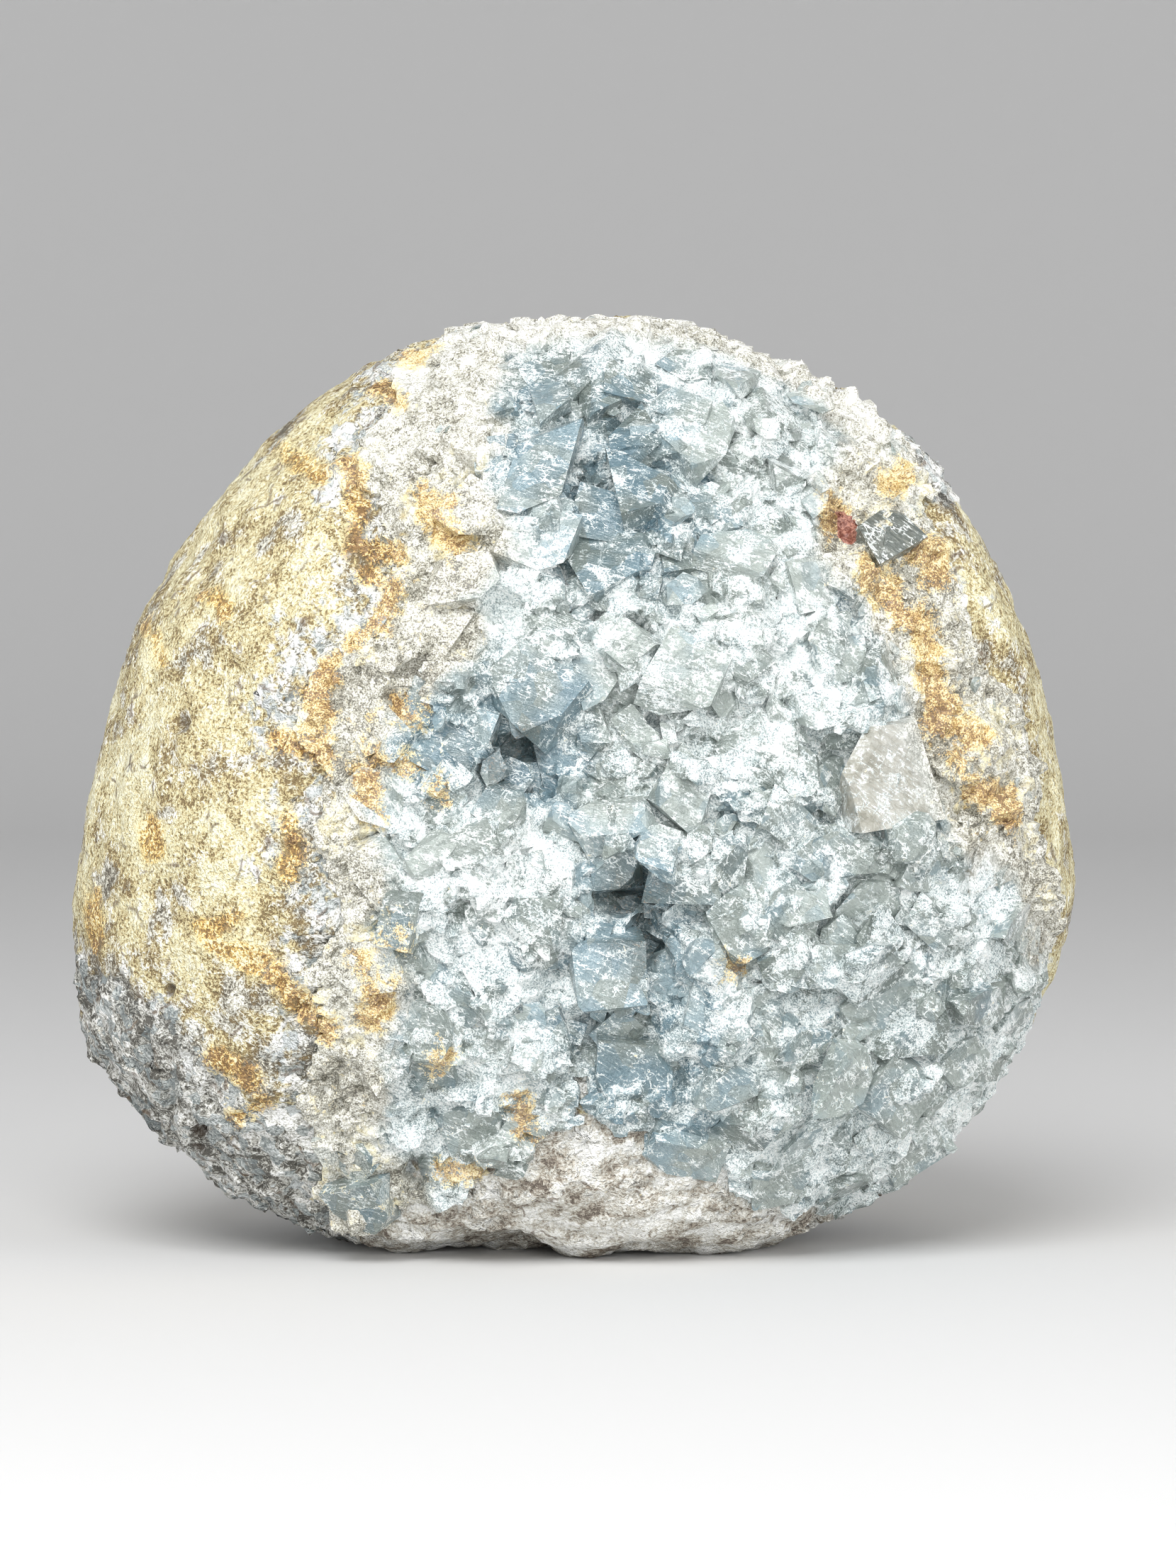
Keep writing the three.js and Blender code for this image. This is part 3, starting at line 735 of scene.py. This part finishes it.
def broken_block(name, size, cuts, clarity, tone, chance):
    """A box-like crystal set low about the origin, its corners broken off along cleavage planes."""
    block = bmesh.new()
    bmesh.ops.create_cube(block, size=1.0)
    for vertex in block.verts:
        jog = Vector([chance.uniform(-CORNER_JOG, CORNER_JOG) for _ in range(3)])
        corner = vertex.co + jog - Vector((0.0, 0.0, BLOCK_SUNK))
        vertex.co = Vector(a * b for a, b in zip(corner, size))
    for _ in range(cuts):
        away = Vector([chance.choice((-1, 1)) * chance.uniform(*CUT_DIRECTION) for _ in range(3)])
        away.normalize()
        reach = max(v.co.dot(away) for v in block.verts)
        flat = bmesh.ops.bisect_plane(
            block, geom=[*block.verts, *block.edges, *block.faces], plane_no=away,
            plane_co=away * reach * chance.uniform(*CUT_REACH), clear_outer=True)
        rim = [part for part in flat["geom_cut"] if isinstance(part, bmesh.types.BMEdge)]
        bmesh.ops.edgenet_fill(block, edges=rim)
    bmesh.ops.recalc_face_normals(block, faces=block.faces)
    mesh = bpy.data.meshes.new(name)
    block.to_mesh(mesh)
    block.free()
    for label, value in (("clarity", clarity), ("tone", tone)):
        spread = mesh.attributes.new(label, "FLOAT", "FACE")
        spread.data.foreach_set(
            "value", [value + chance.uniform(-FACET_SPREAD, FACET_SPREAD) for _ in mesh.polygons])
    return bpy.data.objects.new(name, mesh)


def on_crust(x, z, surface):
    """Where a line from the front at x, z (mm) meets a surface."""
    from_the_front = Vector((x * MM, -1.0, z * MM))
    place, _, _, _ = surface.ray_cast(from_the_front, Vector((0.0, 1.0, 0.0)))
    return place


small_forms = bpy.data.collections.new("small_forms")
form_chance = random.Random(FORM_SEED)
for form_index in range(CRYSTAL_FORMS):
    deep = form_chance.uniform(*SMALL_DEPTH)
    thick = form_chance.uniform(*SMALL_THICKNESS)
    clarity = form_chance.uniform(0.0, 1.0)
    tone = form_chance.uniform(0.0, 1.0)
    small_forms.objects.link(broken_block(
        f"small_form_{form_index}", Vector((1.0, deep, thick)), SMALL_CUTS, clarity, tone, form_chance))
big_forms = bpy.data.collections.new("big_forms")
crust_surface = BVHTree.FromObject(frame["nodes"]["celestite"], bpy.context.evaluated_depsgraph_get())
for form_index, (x, z, wide, high, thick, turn, clarity, tone) in enumerate(BIG_CRYSTALS):
    place = on_crust(x, z, crust_surface)
    cuts = FROSTED_CUTS - round(FEWER_IF_CLEAR * clarity)
    big = broken_block(
        f"big_form_{form_index}", Vector((wide, high, thick)) * MM, cuts, clarity, tone, form_chance)
    outwards = (place - Vector(NODULE_CENTRE) * MM).normalized()
    lean = (outwards + Vector((0.0, FRONT_TURN, 0.0))).normalized()
    upright = lean.to_track_quat("Z", "Y").to_matrix().to_4x4()
    big.data.transform(Matrix.Translation(place) @ upright @ Matrix.Rotation(math.radians(turn), 4, "Z"))
    big_forms.objects.link(big)


def crystal_material():
    """Glassy pale blue crystal, mixed with a frosted white skin where it is bruised or clouded."""
    material, stone = blank_material("celestite_crystal")
    place = stone.field("ShaderNodeTexCoord", {}, {}, "Object") * (1 / MM)
    fine, rust, clarity, tone, vug, zone, chip, joint = painted(
        stone, ("fine", "rust", "clarity", "tone", "vug", "zone", "chip", "joint"))
    facing = stone.field("ShaderNodeNewGeometry", {}, {}, "True Normal")
    facet = stone.field("ShaderNodeTexWhiteNoise", {}, {"Vector": facing * FACETS_DIFFER}, "Value")
    # Grain of each size (mm), from broad patches down to dust, and streaks and a veil of fine cracks
    # that lie along one direction of each facet.
    patches = stone.noise(place, 7.0, detail=1.0, roughness=0.6)
    mottle = stone.noise(place, 2.2, roughness=0.75)
    flecks = stone.noise(place, 0.45, roughness=0.75, distortion=0.8)
    along = facing.cross(STREAK_DIRECTION).unit()
    lengthwise = place.dot(along)
    across = place.dot(facing.cross(along))
    streaks, veil = (
        stone.noise(stone.point(lengthwise * stretch, across, tone * 9.0), size,
                    roughness=0.7, distortion=0.5)
        for stretch, size in ((0.16, 0.5), (0.4, 1.3)))
    dust = stone.noise(place, 0.22, detail=1.0, roughness=0.6)
    plates, plate_hue = shards(stone, place, 2.6)
    chips, chip_hue = shards(stone, place, 0.9)
    crest = place.parts()[2].rise(*CREST)

    # The clear crystal: blue to green and dark to pale, painted paler in the seams between crystals as light
    # against their shade, with the tan and smoky ones, and painted dark as shade on the floor of the
    # hollows.
    shade = tone + (plate_hue[0] - 0.5) * 0.4 + patches * 0.6 + streaks * 0.8 + dust * 1.4
    # Painted light: paler in the seams between crystals, against the shade that falls there.
    shade = (shade + zone * 0.22 + joint * 0.15).rise(-0.36, 1.17)
    tint = (patches * 1.8 + (plate_hue[2] - 0.5) * 0.8 - zone * 0.45 + 0.25).rise(0.0, 1.1)
    blue = stone.blend(
        shade, stone.blend(tint, GREENISH[0], BLUISH[0]), stone.blend(tint, GREENISH[1], BLUISH[1]))
    tanned = (patches + mottle * 0.7 + streaks * 0.6).rise(-0.4, 0.3)
    blue = stone.blend(tone.rise(1.2, 1.35), blue, stone.blend(tanned, *TAN))
    smoky = tone.rise(-0.1, -0.3)
    blue = stone.blend(smoky * 0.8, blue, stone.blend(streaks.rise(-0.1, 0.2), *SMOKY))
    # Painted shade: the floor of the hollows darkened as shade, flecked brown.
    blue = stone.blend(vug * 0.75, blue, stone.blend(flecks.rise(0.05, 0.15), *VUG_SHADE_FLOOR))

    # Where it is frosted: along cracks and streaks, where it is bruised, and in the clouded rim; more of it
    # in the seams between crystals, as painted light against their shade, and less in the hollows, as
    # painted shade.
    cracks = stone.cells(place + mottle * 1.5, 2.0, "DISTANCE_TO_EDGE").rise(0.06, 0.025)
    cracks = cracks * mottle.rise(0.0, 0.12)
    web = veil.most(veil * -1).rise(0.035, 0.012) * (mottle + streaks * 0.8).rise(-0.12, 0.12)
    scratches = (streaks * 1.1 + flecks + dust * 0.8 + mottle * 0.9).rise(0.26, 0.36)
    lines = web.most(cracks).most(scratches)
    bruised = patches * 0.6 + mottle * 0.8 + streaks * 0.8 + flecks * 0.8 + dust * 0.4
    bruised = bruised + (plate_hue[1] - 0.5) * 0.35 + (chip_hue[1] - 0.5) * 0.2
    # Painted light: more frost in the seams between crystals, against the shade that falls there.
    bruised = bruised - (clarity - 0.5) * 0.6 + zone * 0.18 + (joint - 0.45) * 0.35
    cloud = bruised.rise(-0.08, 0.3)
    chalky = (fine + mottle * 0.5).rise(0.1, 0.8) * clarity.rise(0.98, 0.8)
    # Painted shade: less frost in the hollows, so that they stay dark.
    frost = (cloud * 0.9).most(lines * 0.8).most(chalky * 0.94) * (1 - vug * 0.75)

    # The frosted skin: crushed white, painted paler in the seams between crystals as light against their
    # shade, sandy in the rim, stained with rust, and the red-brown chip.
    crushed = streaks * 0.8 + flecks * 0.9 + dust * 2.6 + mottle * 0.8 + (plate_hue[2] - 0.5) * 0.4
    # Painted light: paler white in the seams between crystals, against the shade that falls there.
    crushed = crushed + lines * 0.25 + joint * 0.16 + zone * 0.16 + 0.40
    white = stone.ramp(crushed, CRUSHED_TONES)
    grain = flecks * 1.5 + dust * 1.8 + streaks * 0.5 + mottle * 0.8 + patches * 0.8
    grain = grain + (chip_hue[0] - 0.5) * 0.35 + crest * 0.16 + 0.47
    sandy = (fine * 0.5 + patches * 1.4 + mottle * 1.2 + flecks * 0.5 - crest * 0.35).rise(0.55, 0.8)
    clouded = stone.blend(sandy * 0.7, stone.ramp(grain, RIM_TONES), stone.ramp(grain, SAND_TONES))
    white = stone.blend(chalky, white, clouded)
    stain = rust + fine * 0.22 - smoky - crest * 0.15 + mottle * 1.6 + flecks * 1.6 + dust * 0.8
    stain = (stain + (chip_hue[2] - 0.5) * 0.3).rise(0.5, 0.8)
    white = stone.blend(stain * 0.85, white, stone.ramp(grain * 1.5 - rust * 0.2 - 0.12, RUST_TONES))
    chip = (chip + flecks * 0.5).rise(0.5, 0.58)
    white = stone.blend(chip, white, stone.blend(flecks.rise(-0.1, 0.15), *CHIP_RED))

    height = flecks * 0.3 + streaks * 0.4 + plates * 0.5 + chips * 0.8
    bump = stone.field("ShaderNodeBump", {}, {
        "Strength": 1.0, "Distance": CRYSTAL_RELIEF * MM, "Height": height})
    clear = stone.node("ShaderNodeBsdfPrincipled", {}, {
        "Base Color": blue, "Roughness": stone.pick(facet, *FACET_ROUGHNESS), "IOR": CRYSTAL_IOR,
        "Transmission Weight": CRYSTAL_TRANSMISSION, "Normal": bump})
    frosted = stone.node("ShaderNodeBsdfPrincipled", {}, {
        "Base Color": white, "Roughness": stone.pick(flecks.rise(-0.2, 0.2), *FROST_ROUGHNESS),
        "IOR": CRYSTAL_IOR, "Normal": bump})
    surface = stone.node("ShaderNodeMixShader", {}, {
        0: frost.most(stain * 0.9).most(chip), 1: clear.outputs[0], 2: frosted.outputs[0]})
    inside = stone.node("ShaderNodeVolumeAbsorption", {}, {
        "Color": CRYSTAL_ABSORPTION, "Density": CRYSTAL_DENSITY})
    stone.node("ShaderNodeOutputMaterial", {}, {
        "Surface": surface.outputs[0], "Volume": inside.outputs[0]})
    return material


def from_centre(shape):
    """The direction straight out from the nodule's middle."""
    return (shape.place() - [c * MM for c in NODULE_CENTRE]).unit()


def grown_on(shape, geometry, size, where):
    """Smaller crystals of one size over the part of a surface that where selects."""
    apart = size["apart"] * MM
    scattered = shape.node("GeometryNodeDistributePointsOnFaces", {"distribute_method": "POISSON"}, {
        "Mesh": geometry, "Distance Min": apart, "Density Max": CROWDING / apart ** 2,
        "Density Factor": where, "Seed": size["seed"]})
    lean = math.radians(size["lean"])
    turned = shape.field("FunctionNodeRandomValue", {"data_type": "FLOAT_VECTOR"}, {
        "Min": (-lean, -lean, 0.0), "Max": (lean, lean, 2 * math.pi), "Seed": size["seed"] + 1})
    turned = shape.field("FunctionNodeEulerToRotation", {}, {"Euler": turned})
    facet = Field(shape, scattered.outputs["Normal"])
    outwards = from_centre(shape) * WORN_LEVEL + facet * (1 - WORN_LEVEL)
    upright = shape.field("FunctionNodeAlignRotationToVector", {"axis": "Z"}, {"Vector": outwards})
    rotation = shape.field("FunctionNodeRotateRotation", {"rotation_space": "LOCAL"}, {
        "Rotation": upright, "Rotate By": turned})
    least, most = size["widths"]
    width = shape.field("FunctionNodeRandomValue", {}, {
        "Min": least * MM, "Max": most * MM, "Seed": size["seed"] + 2})
    chosen = shape.field("FunctionNodeRandomValue", {"data_type": "INT"}, {
        "Min": 0, "Max": CRYSTAL_FORMS - 1, "Seed": size["seed"] + 3})
    forms = shape.field("GeometryNodeCollectionInfo", {}, {
        "Collection": shape.given("Forms"), "Separate Children": True, "Reset Children": True})
    return shape.field("GeometryNodeInstanceOnPoints", {}, {
        "Points": scattered.outputs["Points"], "Instance": forms, "Pick Instance": True,
        "Instance Index": chosen, "Rotation": rotation, "Scale": width})


def crushed_bed(shape, thickness, fine, vug):
    """The bed between the crystals: the crust's own solid, stepped, sunk in the hollows, and rooted."""
    place = shape.place_mm()
    rough = shape.noise(place, 1.9, detail=3.0, roughness=0.6) * 0.6 + shape.noise(place, 7.0) * 1.5
    height = rough * fine - vug * VUG_DEPTH
    for width, slope, level in STEPS:
        warped = place + shape.noise(place, width * 0.7) * (width * 0.3)
        step, hue = shards(shape, warped, width)
        height = height + step * (2 * slope) + (hue[0] - 0.5) * (2 * level)
    rooted = thickness.rise(*ROOTED)
    height = height * (1 - rooted) + rooted * ROOT_SWELL
    _, hue = shards(shape, place, BED_FACETS)
    bed = shape.stored(shape.entry.outputs[0], "clarity", hue[1] * BED_CLARITY, "FACE")
    bed = shape.stored(bed, "tone", hue[2], "FACE")
    bed = shape.field("GeometryNodeSetPosition", {}, {
        "Geometry": bed, "Position": shape.raised(height, CRUST_LIFT)})
    return shape.field("GeometryNodeSetShadeSmooth", {}, {"Geometry": bed, "Shade Smooth": False})


def grown_together(shape, bodies):
    """One body of all, without the crumbs that touch nothing and the small hollows shut inside it."""
    union = shape.node("GeometryNodeMeshBoolean", {"operation": "UNION", "solver": "MANIFOLD"}, {})
    for body in bodies:
        shape.feed(union.inputs[1], body)
    island = shape.field("GeometryNodeInputMeshIsland", {}, {}, "Island Index")
    points = shape.field("GeometryNodeAccumulateField", {"data_type": "INT", "domain": "POINT"}, {
        "Value": 1, "Group ID": island}, "Total")
    return shape.field("GeometryNodeDeleteGeometry", {"domain": "POINT"}, {
        "Geometry": union.outputs[0], "Selection": 1 - points.above(CRUMB_POINTS)})


def build_crust():
    crust = solid_copy("celestite", "celestite_crust")
    remesh_evenly(crust, "Even bed", CRUST_VOXEL)
    shape = Shape("crystal_crust", {
        "Forms": ("NodeSocketCollection", small_forms),
        "Big crystals": ("NodeSocketCollection", big_forms),
        "Crust": ("NodeSocketObject", frame["nodes"]["celestite"]),
        "Rock": ("NodeSocketObject", frame["nodes"]["rind"]),
        "Fine rim": ("NodeSocketObject", fine_guide),
        "Rust": ("NodeSocketObject", rust_guide),
        "Crushed": ("NodeSocketObject", crushed_guide),
        "Clearest": ("NodeSocketObject", clearest_guide),
        "Chips": ("NodeSocketObject", chips_guide),
    })
    place = shape.place_mm()
    y = place.parts()[1]
    solid = shape.given_mesh("Crust")
    thickness = shape.away_from(shape.given_mesh("Rock"))
    fine = near(shape, "Fine rim", FINE_BORDER)
    vug = None
    for vug_x, vug_z, radius in VUGS:
        offset = place - shape.point(vug_x, y, vug_z)
        frayed = offset.size() + shape.noise(place, VUG_FRAY[0]) * VUG_FRAY[1]
        opening = frayed.rise(radius, radius * VUG_FULL)
        vug = opening if vug is None else vug.most(opening)

    bed = crushed_bed(shape, thickness, fine, vug)
    big = shape.field("GeometryNodeCollectionInfo", {}, {
        "Collection": shape.given("Big crystals"), "Separate Children": True})
    to_big = shape.away_from(shape.field("GeometryNodeRealizeInstances", {}, {"Geometry": big}))
    bare = thickness.above(CRUST_SKIN) * to_big.above(BIG_CLEARANCE) * (1 - vug)
    clusters = shape.noise(place, 8.0)
    forwards = from_centre(shape).parts()[1].rise(-0.2, -0.5)
    where = {
        "blocks": bare * (1 - fine) * clusters.rise(-0.25, 0.0) * forwards,
        "splinters": bare * (1 - fine * 0.75) * clusters.rise(0.15, -0.1).most(1 - forwards),
        "grains": bare * clusters.rise(0.0, -0.25).most(fine * 0.5),
    }
    grown = [grown_on(shape, solid, CRYSTAL_SIZES[name], where[name]) for name in CRYSTAL_SIZES]
    geometry = grown_together(shape, (bed, big, *grown))

    crushed = near(shape, "Crushed", ZONE_BORDER)
    clearest = near(shape, "Clearest", ZONE_BORDER)
    marks = {
        # Where the seams between crystals lie, to be painted paler as light against their shade.
        "fine": fine, "vug": vug, "joint": shape.away_from(solid).rise(*SEAM_LIGHT_REACH), "rust": rusty(shape),
        "zone": crushed * 0.6 - clearest, "chip": near(shape, "Chips", CHIP_BORDER),
    }
    for name, mark in marks.items():
        geometry = shape.stored(geometry, name, mark)
    shape.finish(geometry, crystal_material())
    shape.run_on(crust)
    return settle(crust)


fine_guide = drawn("fine_guide", FINE_RIM, closed=True)
crushed_guide = drawn("crushed_guide", CRUSHED, closed=True)
clearest_guide = drawn("clearest_guide", CLEAREST, closed=True)
chips_guide = drawn("chips_guide", CHIPS, closed=True)
crust = build_crust()
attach(crust, "root")
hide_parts("celestite")
for helper in (*small_forms.objects, *big_forms.objects, *guides):
    bpy.data.objects.remove(helper)
for helper in (small_forms, big_forms):
    bpy.data.collections.remove(helper)

# ----------------------------------------------------------------------------------------------
# Studio. A plain pale floor that curves up into a wall all round, a broad soft light above the
# front, a weaker one low in front and one on each side, and the camera straight in front of the
# crystal face, a little above it.

# The floor (m): the radius of its middle disk, of its flat part, of its curve, the wall's top, and
# how many steps the curve and the circle have.
FLOOR_MIDDLE = 0.3
FLOOR_FLAT = 1.25
FLOOR_BEND = 0.6
WALL_TOP = 1.9
BEND_STEPS = 12
FLOOR_SIDES = 64
FLOOR_GREY = 0.72
FLOOR_ROUGHNESS = 0.9
# Each soft light: where it hangs (m), how wide it is (m) and its power (W).
LIGHTS = {
    "key_above": ((-0.14, -0.76, 0.72), 0.6, 8.2),
    "fill_front": ((0.1, -0.95, 0.2), 0.5, 3.0),
    "fill_right": ((0.9, -0.6, 0.35), 0.6, 3.4),
    "fill_left": ((-0.9, -0.6, 0.35), 0.6, 1.9),
}
# How bright the white surroundings are.
GLOW = 0.53
# The camera: how far it stands from its aim (m), how far above it (degrees), its lens (mm), and the
# point that it looks at (m).
CAMERA_DISTANCE = 0.75
CAMERA_RISE = 2.0
CAMERA_LENS = 127.5
CAMERA_NEAREST = 0.01
AIM = Vector((0.0018, 0.0, 0.0618))


def floor_sheet():
    """A pale round floor that lies under the geode and sweeps up into a wall all round it."""
    profile = [(FLOOR_MIDDLE, 0.0), (FLOOR_FLAT, 0.0)]
    for step in range(1, BEND_STEPS + 1):
        turn = math.pi / 2 * step / BEND_STEPS
        profile.append((FLOOR_FLAT + FLOOR_BEND * math.sin(turn), FLOOR_BEND - FLOOR_BEND * math.cos(turn)))
    profile.append((FLOOR_FLAT + FLOOR_BEND, WALL_TOP))
    turns = [2 * math.pi * side / FLOOR_SIDES for side in range(FLOOR_SIDES)]
    points = [(r * math.cos(turn), r * math.sin(turn), z) for turn in turns for r, z in profile]
    count = len(profile)
    faces = []
    for side in range(FLOOR_SIDES):
        here = side * count
        beside = (side + 1) % FLOOR_SIDES * count
        faces += [(here + i, beside + i, beside + i + 1, here + i + 1) for i in range(count - 1)]
    faces.append(tuple(side * count for side in reversed(range(FLOOR_SIDES))))
    mesh = bpy.data.meshes.new("floor")
    mesh.from_pydata(points, [], faces)
    mesh.shade_smooth()
    sheet = bpy.data.objects.new("floor", mesh)
    bpy.context.scene.collection.objects.link(sheet)
    paper = bpy.data.materials.new("pale_paper")
    paper.use_nodes = True
    surface = paper.node_tree.nodes["Principled BSDF"]
    surface.inputs["Base Color"].default_value = (FLOOR_GREY, FLOOR_GREY, FLOOR_GREY, 1.0)
    surface.inputs["Roughness"].default_value = FLOOR_ROUGHNESS
    mesh.materials.append(paper)
    return sheet


def soft_light(name, place, size, power):
    light = bpy.data.lights.new(name, "AREA")
    light.shape, light.size, light.energy = "DISK", size, power
    lamp = bpy.data.objects.new(name, light)
    lamp.location = place
    lamp.rotation_euler = (AIM - Vector(place)).to_track_quat("-Z", "Y").to_euler()
    bpy.context.scene.collection.objects.link(lamp)


floor_sheet()
for name, (place, size, power) in LIGHTS.items():
    soft_light(name, place, size, power)
world = bpy.data.worlds.new("studio")
world.use_nodes = True
backdrop = world.node_tree.nodes["Background"]
backdrop.inputs["Color"].default_value = (1.0, 1.0, 1.0, 1.0)
backdrop.inputs["Strength"].default_value = GLOW
bpy.context.scene.world = world
bpy.context.scene.view_settings.view_transform = "Standard"
bpy.context.scene.cycles.max_bounces = 4
bpy.context.scene.cycles.transmission_bounces = 3
bpy.context.scene.cycles.filter_width = 1.1

camera = bpy.data.objects.new("camera", bpy.data.cameras.new("camera"))
rise = math.radians(CAMERA_RISE)
camera.location = AIM + CAMERA_DISTANCE * Vector((0.0, -math.cos(rise), math.sin(rise)))
camera.rotation_euler = (AIM - camera.location).to_track_quat("-Z", "Y").to_euler()
camera.data.lens = CAMERA_LENS
camera.data.clip_start = CAMERA_NEAREST
bpy.context.scene.collection.objects.link(camera)
bpy.context.scene.camera = camera
